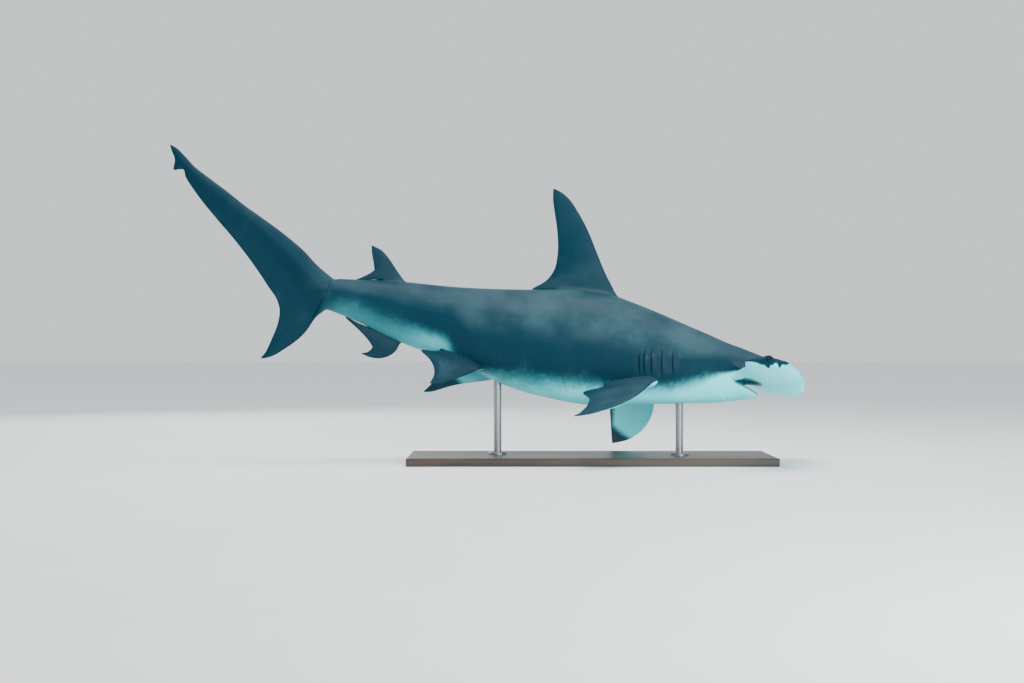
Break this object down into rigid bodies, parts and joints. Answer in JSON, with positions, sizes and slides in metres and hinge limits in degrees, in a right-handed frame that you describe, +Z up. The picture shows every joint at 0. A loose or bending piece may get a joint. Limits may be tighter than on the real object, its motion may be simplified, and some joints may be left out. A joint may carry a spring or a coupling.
{
  "type": "hammerhead shark display model",
  "caption": "Life-size still model of a great hammerhead shark swimming nose-down with its mouth a little open, held by two short rods on a flat base",
  "frame": {"origin": "centre of the underside of the stand's base, which is the face the model stands on", "axes": "+X the way the shark's nose points, +Y to the shark's left, +Z up"},
  "size_m": [3.1032, 1.0935, 1.5492],
  "materials": {
    "skin_back": "satin slate-grey skin, darker on the back",
    "skin_head": "satin slate-grey skin, white below",
    "skin_pale": "satin off-white underside",
    "skin_fin": "satin dark slate-grey skin",
    "eye": "wet-looking dark eye",
    "stand_base": "dark-stained wood, satin",
    "stand_rod": "brushed"
  },
  "bodies": {
    "root": {"gill_region": "skin_back", "chest": "skin_back", "belly": "skin_back", "rear_body": "skin_back", "tail_stalk": "skin_back", "head": "skin_head", "hammer_left": "skin_head", "hammer_right": "skin_head", "lower_jaw": "skin_pale", "eye_left": "eye", "eye_right": "eye", "first_dorsal_fin": "skin_fin", "second_dorsal_fin": "skin_fin", "anal_fin": "skin_fin", "pectoral_fin_left": "skin_fin", "pectoral_fin_right": "skin_fin", "pelvic_fin_left": "skin_fin", "pelvic_fin_right": "skin_fin", "tail_upper_lobe": "skin_fin", "tail_lower_lobe": "skin_fin", "stand_base": "stand_base", "stand_rod_front": "stand_rod", "stand_rod_rear": "stand_rod"}
  },
  "joints": []
}
